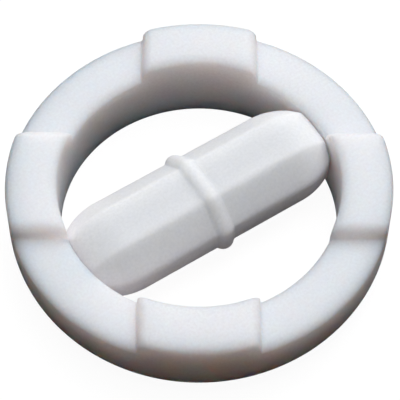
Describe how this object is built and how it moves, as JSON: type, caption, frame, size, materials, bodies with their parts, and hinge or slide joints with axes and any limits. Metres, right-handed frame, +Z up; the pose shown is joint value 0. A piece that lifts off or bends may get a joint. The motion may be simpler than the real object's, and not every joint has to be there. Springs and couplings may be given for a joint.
{
  "type": "magnetic stir bar",
  "caption": "White PTFE stirring magnet for lab vessels: an octagonal bar with a pivot bead round its middle lies across the bore of a low ring with raised pads.",
  "frame": {"origin": "centre of the ring on the base plane", "axes": "+Z up along the ring's axis, +X along the bar"},
  "size_m": [0.035, 0.035, 0.008],
  "materials": {
    "ring_ptfe": "waxy satin",
    "bar_ptfe": "waxy satin",
    "magnet_alloy": "ground"
  },
  "bodies": {
    "root": {"outer_ring": "ring_ptfe", "bar_jacket": "bar_ptfe", "magnet_core": "magnet_alloy"}
  },
  "joints": []
}
